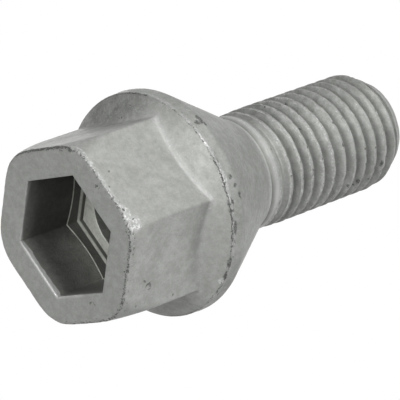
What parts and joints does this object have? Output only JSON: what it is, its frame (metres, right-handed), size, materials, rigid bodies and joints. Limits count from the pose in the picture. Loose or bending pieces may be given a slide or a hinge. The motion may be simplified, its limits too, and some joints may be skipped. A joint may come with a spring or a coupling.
{
  "type": "wheel bolt",
  "caption": "Conical-seat wheel bolt with a forged hexagon head, a hexagon recess in its end, a round collar and a right-hand metric thread.",
  "frame": {"origin": "centre of the head's end face, which the bolt stands on", "axes": "+Z along the bolt's axis, from the head to the thread's end; +X and -X are the normals of one pair of wrench flats"},
  "size_m": [0.0222, 0.0222, 0.0419],
  "materials": {
    "coated_steel": "matt silver-grey flake coating with scuffed edges"
  },
  "bodies": {
    "root": {"wheel_bolt": "coated_steel"}
  },
  "joints": []
}
